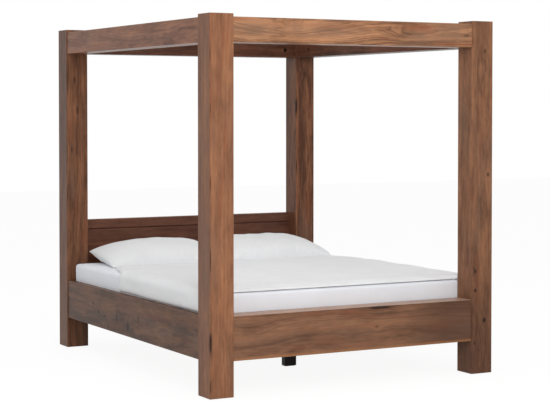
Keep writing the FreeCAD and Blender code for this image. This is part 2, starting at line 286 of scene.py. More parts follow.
def timber(
    name, axis, heart, seed, box, marks=(), bands=(), figure=1.0, ring=0.012, grey=0.5,
    spread=1.0, ringed=1.0,
):
    """Oiled hardwood whose grain runs along the given axis.

    Growth rings are noise along the distance from a pith line beside the board, which
    leans and wanders. Long streaks, fibres, pores and slow changes of tint lie over
    them. A mark is a ragged dark ellipse, a knot or a crack, round which the rings
    swell: (face, along, across, half length, half width, depth), where the face is one
    such as "-Y", the rest is in metres and the depth is 1 for a black one; below 0 it
    is an eye of greyer wood in a pale rim. A band is a change of colour beyond a level
    across the board, which is sapwood, painted shade or a painted highlight:
    (key, outside, inside, colour, share), with the two levels between which it fades.
    """
    made = Finish(name)
    place = dict(zip("XYZ", made.place()))
    cross = [key for key in "XYZ" if key != axis]
    along = place[axis]
    side, rise = [place[key] for key in cross]
    shift = seed * 3.7
    middle = {key: (low + high) / 2 for key, low, high in zip("XYZ", *box)}
    half = {key: (high - low) / 2 for key, low, high in zip("XYZ", *box)}

    def layer(key, turns=(1, 0, 0), drift=(0, 0)):
        """One noise of the board, moved by the seed in turns, and sideways by a drift."""
        along_cells, cross_cells, detail, roughness = GRAIN[key]
        values = [along * along_cells, side * cross_cells, rise * cross_cells]
        moves = [shift * turn for turn in turns]
        values = [value + move if move else value for value, move in zip(values, moves)]
        values[1:] = [value + move if move else value for value, move in zip(values[1:], drift)]
        return made.noise(*values, detail, roughness)

    slow = layer("slow", (1, 0, 1)) - 0.5
    slow_up = layer("slow", (-1, 1, 0)) - 0.5
    sway = layer("sway") - 0.5
    ripple = layer("ripple") - 0.5
    masks, swell = timber_marks(place, axis, marks, middle, half, sway, ripple)

    pith_side = middle[cross[0]] + 0.05 + 0.10 * math.sin(seed * 2.3)
    pith_rise = middle[cross[1]] - 0.10 + 0.06 * math.cos(seed * 1.7)
    bend = RING_BEND * figure
    lean = along * (PITH_LEAN * math.cos(seed))
    lean_up = along * (PITH_LEAN * math.sin(seed * 1.3))
    first = side - pith_side + slow * bend + sway * (0.016 * figure) + lean
    second = rise - pith_rise + slow_up * bend + ripple * 0.0012 + lean_up
    radius = (first * first + second * second).root()
    if swell is not None:
        radius = radius + swell
    rings = made.line_noise(radius * (1 / ring) + shift, 3.0, 0.6)
    broad = made.line_noise(radius * (0.2 / ring) + shift * 2, 1.0)
    wander = sway * 1.6
    streak = layer("streak", drift=(wander, wander))
    fleck = layer("fleck", (-1, 0, 0), (wander, 0))
    fibre = layer("fibre")
    pit = layer("pores").rise(0.64, 0.72)
    blotch = layer("blotch")
    tint = layer("tint", (-1, 1, 0))
    blush = layer("blush", (1, -1, 0))

    look = (rings - 0.5) * (RING_SHARE * ringed)
    for value, share in (
        (broad, BROAD_SHARE), (streak, STREAK_SHARE), (fibre, FIBRE_SHARE),
        (blotch, BLOTCH_SHARE), (fleck, FLECK_SHARE),
    ):
        look = look + (value - 0.5) * share
    look = 0.5 + look * spread
    dark, mid, light = shades(heart)
    colour = made.ramp(look, [(0.14, dark), (0.5, mid), (0.86, light)])
    dull = made.blend(0.55, mid, DULL_GREY)
    colour = made.blend(tint.rise(0.5, 0.78) * grey, colour, dull)
    red = scaled(mid, 1.02, 0.74, 0.68)
    colour = made.blend(blush.rise(0.52, 0.74) * 0.5, colour, red)
    # Bands of sapwood, painted shade or painted highlight, each beyond its level
    for key, outside, inside, band_colour, share in bands:
        level = place[key] + sway * (abs(outside - inside) * 0.6)
        colour = made.blend(level.rise(inside, outside) * share, colour, band_colour)
    colour = made.blend(pit * 0.4, colour, dark)
    relief = fibre * 0.5 + rings * 0.4 - pit * 0.7
    if "eye" in masks:
        colour = made.blend(masks["rim"] * 0.25, colour, EYE_RIM)
        colour = made.blend(masks["eye"] * 0.6, colour, EYE_HEART)
    if "core" in masks:
        colour = made.blend(masks["halo"] * 0.5, colour, dark)
        colour = made.blend(masks["core"] * 0.93, colour, KNOT_BLACK)
        relief = relief - masks["core"] * 1.2
    made.surface(
        Base_Color=colour,
        Roughness=0.34 + (fibre - 0.5) * 0.16 + pit * 0.15,
        Specular_IOR_Level=0.12,
        Normal=made.bump(relief, 0.0008, 0.6),
    )
    return made.material


def shades(heart):
    """The dark, middle and light tones of a timber whose middle tone is given."""
    return scaled(heart, 0.50, 0.48, 0.50), tuple(heart), scaled(heart, 1.52, 1.50, 1.40)


def steel(name):
    """Zinc-plated steel with a faint cloudy variation."""
    made = Finish(name)
    x, y, z = made.place()
    cloud = made.noise(x * 60, y * 60, z * 60, 3.0)
    grain = made.noise(x * 900, y * 900, z * 900, 1.0)
    colour = made.blend(cloud, tone(168, 168, 164), tone(196, 196, 192))
    made.surface(
        Base_Color=colour,
        Metallic=1.0,
        Roughness=0.34 + (cloud - 0.5) * 0.2,
        Normal=made.bump(grain, 0.0001, 0.4),
    )
    return made.material


def felt(name):
    """Pressed wool felt, dark brown and matted."""
    made = Finish(name)
    x, y, z = made.place()
    mat = made.noise(x * 700, y * 700, z * 700, 4.0, 0.7)
    colour = made.blend(mat, tone(58, 48, 42), tone(96, 82, 72))
    made.surface(Base_Color=colour, Roughness=1.0, Normal=made.bump(mat, 0.0006, 0.8))
    return made.material


def linen(name, pale, shade, crease=0.5, weave=0.00045):
    """Plain-woven cotton: crossing threads, a mottled tint and soft creases.

    The threads are the product of two sines, each one thread to the weave's length.
    """
    made = Finish(name)
    x, y, z = made.place()
    turns = 2 * math.pi / weave
    warp = ((x + z * 0.35) * turns).sine()
    weft = ((y + z * 0.8) * turns).sine()
    cloud = made.noise(x * 5, y * 5, z * 5, 3.0)
    fold = made.noise(x * 7 + 2.0, y * 4.2, z * 7, 4.0, 0.55)
    fine = made.noise(x * 38, y * 26, z * 38, 3.0, 0.6)
    creased = made.bump(fold * crease + fine * 0.07 * crease, 0.012, 0.5)
    made.surface(
        Base_Color=made.blend(cloud.rise(0.3, 0.7), shade, pale),
        Roughness=0.92,
        Specular_IOR_Level=0.2,
        Sheen_Weight=0.15,
        Normal=made.bump(warp * weft, 0.00003, 0.3, Normal=creased),
    )
    return made.material


def scaled(colour, *shares):
    """A colour with its three parts scaled by one share, or by a share each."""
    return tuple(value * share for value, share in zip(colour, shares * (3 // len(shares))))


# Meshes

CLOTH_QUALITY = 6
CLOTH_MASS = 0.25
CLOTH_STIFFNESS = 15.0
CLOTH_BENDING = 0.4
CLOTH_FRAMES = 20


def make_piece(name, points, faces, finish, body):
    """Puts arrays of points, in metres, and of quads into a smooth new object on a body."""
    mesh = bpy.data.meshes.new(name)
    mesh.from_pydata(points.reshape(-1, 3).tolist(), [], faces.tolist())
    mesh.validate()
    mesh.polygons.foreach_set("use_smooth", np.ones(len(mesh.polygons), bool))
    mesh.materials.append(finish)
    piece = bpy.data.objects.new(name, mesh)
    bpy.context.scene.collection.objects.link(piece)
    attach(piece, body)
    return piece


def grid_quads(index):
    """The quads between neighbours in a 2-D array of point numbers."""
    corners = (index[:-1, :-1], index[1:, :-1], index[1:, 1:], index[:-1, 1:])
    return np.stack(corners, axis=-1).reshape(-1, 4)


def lattice(start, rows, columns):
    """Two grids of even steps: along from the start to 1, and across from -1 to 1."""
    return np.meshgrid(np.linspace(start, 1, rows), np.linspace(-1, 1, columns), indexing="ij")


def crowded(value, share):
    """Steps from -1 to 1, closer together at both ends: a share of a sine of the step."""
    return np.sin(value * np.pi / 2) * share + value * (1 - share)


def closed_pair(top, bottom):
    """Joins two grids of points along their shared border into one closed skin."""
    rows, columns = top.shape[:2]
    index = np.arange(rows * columns).reshape(rows, columns)
    inner = np.zeros((rows, columns), bool)
    inner[1:-1, 1:-1] = True
    under = index.copy()
    under[inner] = rows * columns + np.arange(inner.sum())
    points = np.concatenate([top.reshape(-1, 3), bottom[inner]])
    faces = np.concatenate([grid_quads(index)[:, ::-1], grid_quads(under)])
    return points, faces


def block_skin(counts, floor=True):
    """Lattice points on a block's faces, as fractions of its sides, and their outward quads."""
    counts = np.array(counts)
    quads = []
    for axis in range(3):
        first, second = [other for other in range(3) if other != axis]
        i, j = np.meshgrid(np.arange(counts[first]), np.arange(counts[second]), indexing="ij")
        for side in (0, 1):
            if axis == 2 and side == 0 and not floor:
                continue
            corner = np.zeros(i.shape + (4, 3), int)
            for step, (down, over) in enumerate(((0, 0), (1, 0), (1, 1), (0, 1))):
                corner[..., step, first] = i + down
                corner[..., step, second] = j + over
            corner[..., axis] = side * counts[axis]
            if (axis == 1) != (side == 0):
                corner = corner[..., ::-1, :]
            quads.append(corner.reshape(-1, 4, 3))
    quads = np.concatenate(quads)
    points, index = np.unique(quads.reshape(-1, 3), axis=0, return_inverse=True)
    return points / counts, index.reshape(-1, 4)


def rounded(points, low, high, radii, floor=True):
    """Moves a block's skin onto rounded edges: each point lies on an ellipsoid of the given
    radii about the nearest point of the core that is left when they are taken off."""
    low, high, radii = (np.array(value, float) for value in (low, high, radii))
    core_low = low + radii
    if not floor:
        core_low[2] = low[2]
    core = np.clip(points, core_low, high - radii)
    away = (points - core) / radii
    length = np.linalg.norm(away, axis=1, keepdims=True)
    return core + radii * away / np.maximum(length, 1e-9)


def waves(points, seed, scale, count=5):
    """A smooth field over the points: a sum of sines in random directions, about -1 to 1."""
    chance = np.random.default_rng(seed)
    total = np.zeros(points.shape[:-1])
    for _ in range(count):
        direction = chance.normal(size=points.shape[-1])
        direction *= scale * chance.uniform(0.6, 1.6) / np.linalg.norm(direction)
        total += np.sin(points @ direction + chance.uniform(0, 2 * np.pi))
    return total / count ** 0.5


def smooth_step(value, low, high):
    """0 below low, 1 above high, and three squares less two cubes of the part between."""
    part = np.clip((value - low) / (high - low), 0, 1)
    return part * part * (3 - 2 * part)


def read_points(mesh):
    """A mesh's points as one array."""
    flat = np.zeros(len(mesh.vertices) * 3)
    mesh.vertices.foreach_get("co", flat)
    return flat.reshape(-1, 3)


def inflate(piece, held, pressure, cap, stretch):
    """Swells a closed piece with the cloth solver, no gravity, and keeps each move within a
    cap: a move becomes cap * tanh(length / cap) long. The held points, by number, stay
    where they are, and the cloth grows by the stretch."""
    start = read_points(piece.data)
    pins = piece.vertex_groups.new(name="Held")
    pins.add([int(number) for number in held], 1.0, "REPLACE")
    cloth = piece.modifiers.new("Cloth", "CLOTH")
    settings = cloth.settings
    settings.vertex_group_mass = "Held"
    settings.quality = CLOTH_QUALITY
    settings.mass = CLOTH_MASS
    settings.tension_stiffness = CLOTH_STIFFNESS
    settings.compression_stiffness = CLOTH_STIFFNESS
    settings.shear_stiffness = CLOTH_STIFFNESS / 3
    settings.bending_stiffness = CLOTH_BENDING
    settings.use_pressure = True
    settings.uniform_pressure_force = pressure
    settings.shrink_min = -stretch
    settings.shrink_max = -stretch
    settings.effector_weights.gravity = 0.0
    cloth.collision_settings.use_collision = False
    cloth.point_cache.frame_start = 1
    cloth.point_cache.frame_end = CLOTH_FRAMES
    scene = bpy.context.scene
    for number in range(1, CLOTH_FRAMES + 1):
        scene.frame_set(number)
    evaluated = piece.evaluated_get(bpy.context.evaluated_depsgraph_get())
    swollen = read_points(evaluated.to_mesh())
    evaluated.to_mesh_clear()
    piece.modifiers.remove(cloth)
    piece.vertex_groups.remove(pins)
    scene.frame_set(1)
    move = swollen - start
    length = np.linalg.norm(move, axis=1, keepdims=True)
    if not np.isfinite(length).all():
        raise RuntimeError(f"the cloth of {piece.name} did not settle")
    move *= cap * np.tanh(length / cap) / np.maximum(length, 1e-9)
    return start + move


def finish_padding(piece, points, node):
    piece.data.vertices.foreach_set("co", points.ravel())
    piece.data.update()
    finer = piece.modifiers.new("Finer", "SUBSURF")
    finer.levels = finer.render_levels = 1
    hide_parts(node)


def paint(nodes, material):
    """Gives CAD nodes a material, slot by slot."""
    for name in nodes:
        for slot in frame["nodes"][name].material_slots:
            slot.material = material


def clad(node, axis, heart, seed, ring, figures, **more):
    """Gives one board a timber of its own. The figures are how far its rings bend, how
    strong its light and dark are, and how strongly the rings show."""
    figure, spread, ringed = figures
    finish = timber(
        f"timber_{node}", axis, heart, seed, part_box(node), ring=ring, figure=figure,
        spread=spread, ringed=ringed, **more,
    )
    paint([node], finish)


# Knots and cracks: face, along, across, half length, half width, depth

NEAR_POST_MARKS = (
    ("-Y", 1.895, -0.942, 0.055, 0.0035, 0.65), ("-Y", 1.600, -0.942, 0.045, 0.0035, 0.65),
    ("-Y", 1.195, -0.942, 0.055, 0.0035, 0.65), ("-Y", 0.780, -0.942, 0.080, 0.0038, 0.85),
    ("-Y", 0.300, -0.941, 0.085, 0.0060, 0.95), ("-Y", 0.072, -0.942, 0.060, 0.0050, 0.75),
    ("-X", 0.300, -1.151, 0.070, 0.0050, 0.70),
)
FAR_POST_MARKS = (
    ("-Y", 0.620, 0.824, 0.014, 0.009, 0.85), ("-Y", 0.506, 0.825, 0.013, 0.009, 0.80),
    ("-Y", 0.322, 0.893, 0.014, 0.011, 0.90), ("-Y", 0.189, 0.821, 0.012, 0.008, 0.75),
    ("-Y", 1.200, 0.915, 0.012, 0.009, 0.75), ("-Y", 1.940, 0.890, 0.014, 0.008, 0.55),
)
HEAD_LEFT_MARKS = (
    ("-Y", 1.786, -0.890, 0.022, 0.007, 0.70), ("-Y", 1.585, -0.870, 0.030, 0.007, 0.60),
    ("-Y", 1.318, -0.912, 0.026, 0.006, 0.55),
)
HEAD_RIGHT_MARKS = (
    ("-Y", 1.620, 0.803, 0.060, 0.0050, 0.95), ("-X", 1.600, 1.012, 0.050, 0.0070, 0.85),
    ("-Y", 1.844, 0.872, 0.020, 0.016, 0.35), ("-Y", 1.190, 0.804, 0.050, 0.0045, 0.85),
)
# Painted shade: the left faces of the near post and of both head posts are darker, and the far
# post darkens towards its foot
NEAR_POST_PAINTED_SHADE_BANDS = (("X", -0.947, -0.944, tone(80, 58, 46), 0.22),)
FAR_POST_PAINTED_SHADE_BANDS = (("Z", 0.10, 0.95, tone(74, 48, 36), 0.50),)
HEAD_LEFT_PAINTED_SHADE_BANDS = (("X", -0.947, -0.944, tone(62, 42, 33), 0.38),)
HEAD_RIGHT_PAINTED_SHADE_BANDS = (("X", 0.799, 0.802, tone(62, 40, 32), 0.38),)
FOOT_BEAM_MARKS = (
    ("-Y", -0.672, 2.034, 0.085, 0.030, -0.75), ("-Y", -0.200, 2.036, 0.150, 0.026, -0.75),
    ("-Y", -0.395, 2.046, 0.045, 0.018, -0.55), ("-Y", 0.420, 2.026, 0.060, 0.018, -0.60),
    ("-Y", 0.330, 2.028, 0.050, 0.014, 0.25), ("-Y", 0.640, 2.036, 0.090, 0.022, -0.50),
    ("-Y", 0.760, 2.030, 0.030, 0.008, 0.50),
)
FOOT_RAIL_MARKS = (
    ("-Y", 0.148, 0.4430, 0.088, 0.0105, 0.88), ("+Z", 0.132, -1.146, 0.070, 0.007, 0.70),
    ("-Y", 0.080, 0.4480, 0.330, 0.0034, 0.50), ("-Y", 0.133, 0.333, 0.013, 0.007, 0.40),
    ("-Y", -0.709, 0.358, 0.060, 0.022, 0.25),
)
# Foot rail bands: darker towards the right end; a painted highlight on the top face and top edge,
# standing in for the sheen on the ledge; a paler orange sapwood strip along the bottom edge
FOOT_RAIL_BANDS = (
    ("X", 0.62, 0.20, tone(84, 57, 43), 0.62),
    ("Z", 0.4506, 0.4490, tone(205, 170, 148), 0.45), ("Z", 0.205, 0.226, tone(168, 116, 76), 0.6),
)
SIDE_RAIL_MARKS = (
    ("-X", 0.556, 0.350, 0.018, 0.012, 0.90), ("-X", 0.464, 0.301, 0.021, 0.014, 0.92),
    ("-X", 0.364, 0.288, 0.018, 0.013, 0.85), ("-X", 0.168, 0.298, 0.022, 0.030, 0.75),
    ("-X", -0.010, 0.258, 0.030, 0.032, 0.95), ("-X", 0.304, 0.230, 0.020, 0.012, 0.80),
    ("-X", -0.167, 0.327, 0.018, 0.020, 0.60),
)

# Settings


class BedTimberSettings(bpy.types.PropertyGroup):
    post: FloatVectorProperty(
        name="Posts", description="Main colour of the posts", subtype="COLOR",
        default=tone(139, 94, 67), min=0, max=1,
    )
    beam: FloatVectorProperty(
        name="Foot beam", description="Main colour of the canopy beam at the foot",
        subtype="COLOR", default=tone(152, 108, 79), min=0, max=1,
    )
    side_beam: FloatVectorProperty(
        name="Left beam", description="Main colour of the left canopy beam", subtype="COLOR",
        default=tone(134, 92, 71), min=0, max=1,
    )
    # Head and right beams: partly their own darker wood, partly painted shade on the inner faces
    # that face the bed
    dark_beam_with_painted_shade: FloatVectorProperty(
        name="Dark beams", description="Main colour of the head and right canopy beams",
        subtype="COLOR", default=tone(88, 55, 41), min=0, max=1,
    )
    foot_rail: FloatVectorProperty(
        name="Foot rail", description="Main colour of the rail at the foot", subtype="COLOR",
        default=tone(128, 91, 69), min=0, max=1,
    )
    side_rail: FloatVectorProperty(
        name="Side rails", description="Main colour of the side and head rails",
        subtype="COLOR", default=tone(97, 65, 45), min=0, max=1,
    )
    headboard: FloatVectorProperty(
        name="Headboard", description="Main colour of the headboard", subtype="COLOR",
        default=tone(106, 69, 54), min=0, max=1,
    )
    ring: FloatProperty(
        name="Ring width", description="Usual width of a growth ring", unit="LENGTH",
        default=0.010, min=0.002, max=0.05,
    )


class BedBeddingSettings(bpy.types.PropertyGroup):
    cloth: FloatVectorProperty(
        name="Cotton", description="Colour of the bed linen", subtype="COLOR",
        default=tone(236, 237, 238), min=0, max=1,
    )
    duvet_spacing: FloatProperty(
        name="Duvet spacing", description="Distance between the duvet's points", unit="LENGTH",
        default=0.016, min=0.008, max=0.05,
    )
    pillow_spacing: FloatProperty(
        name="Pillow spacing", description="Distance between the pillows' points", unit="LENGTH",
        default=0.009, min=0.005, max=0.03,
    )


class BedStageSettings(bpy.types.PropertyGroup):
    key_power: FloatProperty(
        name="Key lamp", description="Power of the large lamp at the foot", unit="POWER",
        default=100.0, min=0,
    )
    fill_power: FloatProperty(
        name="Fill lamp", description="Power of the lamp on the left", unit="POWER",
        default=44.0, min=0,
    )
    top_power: FloatProperty(
        name="Top lamp", description="Power of the lamp overhead", unit="POWER",
        default=50.0, min=0,
    )
    sky: FloatProperty(
        name="Room light", description="Strength of the even light all round",
        default=0.6, min=0, max=3,
    )
    lens: FloatProperty(
        name="Lens", description="Focal length of the camera", unit="CAMERA",
        default=103.18, min=10, max=300,
    )


class BedSettings(bpy.types.PropertyGroup):
    timber: PointerProperty(type=BedTimberSettings)
    bedding: PointerProperty(type=BedBeddingSettings)
    stage: PointerProperty(type=BedStageSettings)


class BED_OT_stage(bpy.types.Operator):
    """Make the floor, lamps, room light and camera"""

    bl_idname = "bed.stage"
    bl_label = "Stage"
    floor_half = 20.0
    camera_place = (-4.7217, -8.8795, 1.5992)
    camera_turn = (math.radians(88.335), 0, math.radians(-28.422))
    camera_shift = -0.0945

    def execute(self, context):
        look = context.scene.bed.stage
        self.floor()
        self.room(context.scene, look.sky)
        for name, power, place, aim, width in (
            ("key_lamp", look.key_power, (-1.5, -4.9, 3.1), (-0.4, -1.0, 1.0), 2.2),
            ("fill_lamp", look.fill_power, (-5.0, -2.5, 4.5), (0.0, 0.0, 0.8), 3.0),
            ("top_lamp", look.top_power, (0.2, 0.0, 5.6), (0.0, 0.0, 0.6), 4.0),
        ):
            self.lamp(name, power, place, aim, width)
        self.camera(context.scene, look.lens)
        return {"FINISHED"}

    def floor(self):
        """A flat pale square, which the camera sees as nearly white."""
        mesh = bpy.data.meshes.new("floor")
        half = self.floor_half
        corners = [(-half, -half, 0), (half, -half, 0), (half, half, 0), (-half, half, 0)]
        mesh.from_pydata(corners, [], [(0, 1, 2, 3)])
        floor = bpy.data.objects.new("floor", mesh)
        bpy.context.scene.collection.objects.link(floor)
        made = Finish("floor_paint")
        made.surface(Base_Color=(0.74, 0.74, 0.74, 1.0), Roughness=0.9, Specular_IOR_Level=0.0)
        glow = made.node("ShaderNodeEmission", inputs={"Color": WHITE, "Strength": 1.05})
        seen = made.node("ShaderNodeLightPath", output="Is Camera Ray")
        factor = (seen * 0.88).most(seen.other("Is Glossy Ray") * 0.8)
        mixed = made.node("ShaderNodeMixShader", inputs={0: factor, 1: made.shader, 2: glow})
        made.feed(made.end.node, {"Surface": mixed})
        mesh.materials.append(made.material)

    def room(self, scene, strength):
        """Even light all round, which the camera and reflections see as white."""
        world = bpy.data.worlds.new("room")
        scene.world = world
        world.use_nodes = True
        made = NodeMaker(world.node_tree)
        soft = made.node("ShaderNodeBackground", inputs={"Color": WHITE, "Strength": strength})
        white = made.node("ShaderNodeBackground", inputs={"Color": WHITE, "Strength": 1.0})
        camera_ray = made.node("ShaderNodeLightPath", output="Is Camera Ray")
        seen = camera_ray.most(camera_ray.other("Is Transmission Ray"))
        seen = seen.most(camera_ray.other("Is Glossy Ray"))
        mixed = made.node("ShaderNodeMixShader", inputs={0: seen, 1: soft, 2: white})
        made.node("ShaderNodeOutputWorld", inputs={"Surface": mixed})

    def lamp(self, name, power, place, aim, width):
        """A square lamp turned from its place towards its aim."""
        light = bpy.data.lights.new(name, "AREA")
        light.shape = "SQUARE"
        light.size = width
        light.energy = power
        lamp = bpy.data.objects.new(name, light)
        bpy.context.scene.collection.objects.link(lamp)
        away = np.array(place) - np.array(aim)
        lamp.location = place
        lamp.visible_camera = False
        tilt = math.atan2(math.hypot(away[0], away[1]), away[2])
        lamp.rotation_euler = (tilt, 0, math.atan2(away[1], away[0]) + math.pi / 2)

    def camera(self, scene, lens):
        """A camera at eye height off the foot end's left corner."""
        data = bpy.data.cameras.new("camera")
        data.sensor_width = 36.0
        data.lens = lens
        data.shift_y = self.camera_shift
        data.clip_end = 100
        camera = bpy.data.objects.new("camera", data)
        scene.collection.objects.link(camera)
        camera.location = self.camera_place
        camera.rotation_euler = self.camera_turn
        scene.camera = camera
        scene.view_settings.view_transform = "Standard"


class BED_OT_posts(bpy.types.Operator):
    """Give the four posts their timber"""

    bl_idname = "bed.posts"
    bl_label = "Posts"

    def execute(self, context):
        look = context.scene.bed.timber
        # Each post's shares scale the posts' colour: partly its own tone, partly painted shade
        # that darkens the posts further back from the near foot corner
        for place, seed, shares, marks, bands, figures in (
            (
                "foot_left", 1.0, (1.0, 1.02, 1.05),
                NEAR_POST_MARKS, NEAR_POST_PAINTED_SHADE_BANDS, (1.3, 1.0, 1.0),
            ),
            (
                "foot_right", 2.3, (0.82, 0.87, 0.93),
                FAR_POST_MARKS, FAR_POST_PAINTED_SHADE_BANDS, (1.8, 1.5, 1.0),
            ),
            (
                "head_left", 3.1, (0.69, 0.69, 0.73),
                HEAD_LEFT_MARKS, HEAD_LEFT_PAINTED_SHADE_BANDS, (1.6, 1.6, 1.3),
            ),
            (
                "head_right", 4.4, (0.71, 0.69, 0.72),
                HEAD_RIGHT_MARKS, HEAD_RIGHT_PAINTED_SHADE_BANDS, (2.8, 2.1, 2.0),
            ),
        ):
            heart = scaled(look.post, *shares)
            clad(f"post_{place}", "Z", heart, seed, look.ring, figures, marks=marks, bands=bands)
        return {"FINISHED"}


class BED_OT_canopy(bpy.types.Operator):
    """Give the canopy beams their timber"""

    bl_idname = "bed.canopy"
    bl_label = "Canopy beams"

    def execute(self, context):
        look = context.scene.bed.timber
        # The head and right beams share a darker colour that is partly painted shade
        for end, axis, heart, seed, marks, figures in (
            ("foot", "X", look.beam, 5.2, FOOT_BEAM_MARKS, (2.2, 1.35, 3.0)),
            ("head", "X", look.dark_beam_with_painted_shade, 6.1, (), (1.0, 1.3, 1.0)),
            ("left", "Y", look.side_beam, 7.4, (), (2.0, 1.5, 1.2)),
            ("right", "Y", look.dark_beam_with_painted_shade, 8.6, (), (1.0, 1.6, 1.2)),
        ):
            clad(f"canopy_beam_{end}", axis, heart, seed, look.ring, figures, marks=marks)
        return {"FINISHED"}


class BED_OT_rails(bpy.types.Operator):
    """Give the four bed rails their timber"""

    bl_idname = "bed.rails"
    bl_label = "Rails"

    def execute(self, context):
        look = context.scene.bed.timber
        for node, axis, heart, seed, marks, bands, figures in (
            (
                "foot_rail", "X", look.foot_rail, 9.1,
                FOOT_RAIL_MARKS, FOOT_RAIL_BANDS, (1.8, 1.0, 2.0),
            ),
            ("head_rail", "X", look.side_rail, 10.7, (), (), (1.0, 1.0, 1.0)),
            ("side_rail_left", "Y", look.side_rail, 11.3, SIDE_RAIL_MARKS, (), (2.2, 1.9, 1.2)),
            ("side_rail_right", "Y", look.side_rail, 12.9, (), (), (1.6, 1.4, 1.2)),
        ):
            clad(node, axis, heart, seed, look.ring, figures, marks=marks, bands=bands)
        return {"FINISHED"}


class BED_OT_headboard(bpy.types.Operator):
    """Give the headboard its darker timber"""

    bl_idname = "bed.headboard"
    bl_label = "Headboard"

    def execute(self, context):
        look = context.scene.bed.timber
        for node, seed in (("headboard_top_rail", 13.2), ("headboard_panel", 14.6)):
            clad(node, "X", look.headboard, seed, look.ring, (1.0, 1.0, 1.0), grey=0.1)
        return {"FINISHED"}


class BED_OT_base(bpy.types.Operator):
    """Give the slats, ledgers, centre beam, legs and dowels their timber"""

    bl_idname = "bed.base"
    bl_label = "Slatted base"

    def execute(self, context):
        pine = tone(198, 164, 122)
        brown = tone(146, 112, 84)
        # The centre legs' near-black colour is painted shade, for legs that stand in the shadow
        # under the bed
        black = tone(30, 20, 19)
        slats = sorted(
            name for name in frame["nodes"] if name.startswith("slat_") and name[5:].isdigit()
        )
        for turn in range(3):
            finish = timber(
                f"slat_timber_{turn}", "X", pine, 15.0 + turn * 1.9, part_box(slats[turn]),
                ring=0.005, grey=0.0, spread=0.5,
            )
            paint(slats[turn::3], finish)
        for name, axis, heart, seed, nodes, more in (
            (
                "ledger_timber", "Y", brown, 18.3,
                ("centre_beam", "slat_ledger_left", "slat_ledger_right"), {"spread": 0.8},
            ),
            (
                "leg_timber", "Z", black, 19.7,
                ("centre_leg_foot", "centre_leg_head"), {"spread": 0.8},
            ),
            (
                "dowel_wood", "X", pine, 21.0,
                ("headboard_dowels", "canopy_dowels", "rail_dowels"), {"ring": 0.003, "grey": 0.0},
            ),
        ):
            paint(nodes, timber(name, axis, heart, seed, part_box(nodes[0]), **more))
        return {"FINISHED"}


class BED_OT_hardware(bpy.types.Operator):
    """Give the bolts, nuts, screws, hangers and felt pads their finishes"""

    bl_idname = "bed.hardware"
    bl_label = "Hardware"

    def execute(self, context):
        subparts = frame["record"]["subparts"]
        metal = [entry["node"] for entry in subparts if entry["material_slot"] == "zinc_steel"]
        paint(metal, steel("zinc_plate"))
        paint(["post_pads", "leg_pads"], felt("pad_felt"))
        return {"FINISHED"}


class BED_OT_mattress(bpy.types.Operator):
    """Make the mattress and the fitted sheet stretched over it"""

    bl_idname = "bed.mattress"
    bl_label = "Mattress"
    inset = 0.004
    mattress_counts = (60, 66, 8)
    mattress_radii = (0.045, 0.045, 0.018)
    sheet_room = 0.0012
    sheet_counts = (150, 166, 16)
    sheet_radii = (0.040, 0.040, 0.016)
    sheet_wall = 0.0009
    pleat_depth = 0.0022
    pleat_reach = 0.16
    gather_depth = 0.0009
    sag_depth = 0.0012

    def execute(self, context):
        self.body()
        self.sheet(context.scene.bed.bedding.cloth)
        return {"FINISHED"}

    def body(self):
        """A block with rounded edges, which stands a little inside the sheet."""
        low, high = (np.array(corner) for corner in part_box("mattress"))
        low[:2] += self.inset
        high -= self.inset
        skin, faces = block_skin(self.mattress_counts)
        points = rounded(low + skin * (high - low), low, high, self.mattress_radii)
        made = linen("mattress_knit", tone(228, 228, 226), tone(214, 214, 212), 0.2, 0.002)
        piece = make_piece("mattress_body", points, faces, made, "mattress")
        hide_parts("mattress")

    def sheet(self, cloth):
        """The block's skin without its floor, closer in its lattice towards the edges.

        With run = x + y, the sides move outwards by pleats, sin(190 run + 2 sin 23 run),
        which fade by exp(-distance / reach) from the corners, and by gathers,
        sin(120 run + 3 sin 9 run), which fade upwards; both are left out where the rails
        hide the sides. The top sags by a sum of sines.
        """
        low, high = (np.array(corner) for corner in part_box("fitted_sheet"))
        low[:2] += self.sheet_room
        high[:2] -= self.sheet_room
        high[2] -= self.sheet_room / 2
        skin, faces = block_skin(self.sheet_counts, floor=False)
        even = skin[:, :2]
        skin[:, :2] = 0.55 * even + 0.45 * (0.5 - 0.5 * np.cos(np.pi * even))
        size = high - low
        points = rounded(low + skin * size, low, high, self.sheet_radii, floor=False)

        middle, span = (low + high) / 2, size / 2
        near_x = span[0] - np.abs(points[:, 0] - middle[0])
        near_y = span[1] - np.abs(points[:, 1] - middle[1])
        nearest = np.minimum(near_x, near_y)
        height = (points[:, 2] - low[2]) / size[2]
        outward = points - np.clip(points, middle - span + 0.05, middle + span - 0.05)
        outward[:, 2] = 0
        outward /= np.maximum(np.linalg.norm(outward, axis=1, keepdims=True), 1e-6)
        run = points[:, 0] + points[:, 1]
        corner = np.exp(-np.hypot(near_x, near_y) / self.pleat_reach)
        pleat = np.sin(run * 190 + 2 * np.sin(run * 23)) * corner * self.pleat_depth
        gather = np.sin(run * 120 + 3 * np.sin(run * 9)) * self.gather_depth * (1 - height)
        shown_side = (nearest < 0.03) * smooth_step(height, 0.42, 0.6)
        points += outward * ((pleat + gather) * shown_side)[:, None]
        sag = waves(points[:, :2], 5, 9.0, 6) * self.sag_depth
        top = smooth_step(height, 0.97, 1.0) * smooth_step(nearest, 0.0, 0.08)
        points[:, 2] += top * (sag - self.sag_depth)

        pale = scaled(cloth, 1.02, 1.035, 1.08)
        made = linen("sheet_cotton", pale, scaled(pale, 0.97), 0.35)
        piece = make_piece("fitted_sheet_cloth", points, faces, made, "mattress")
        wall = piece.modifiers.new("Thickness", "SOLIDIFY")
        wall.thickness = self.sheet_wall
        wall.offset = -1
        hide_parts("fitted_sheet")


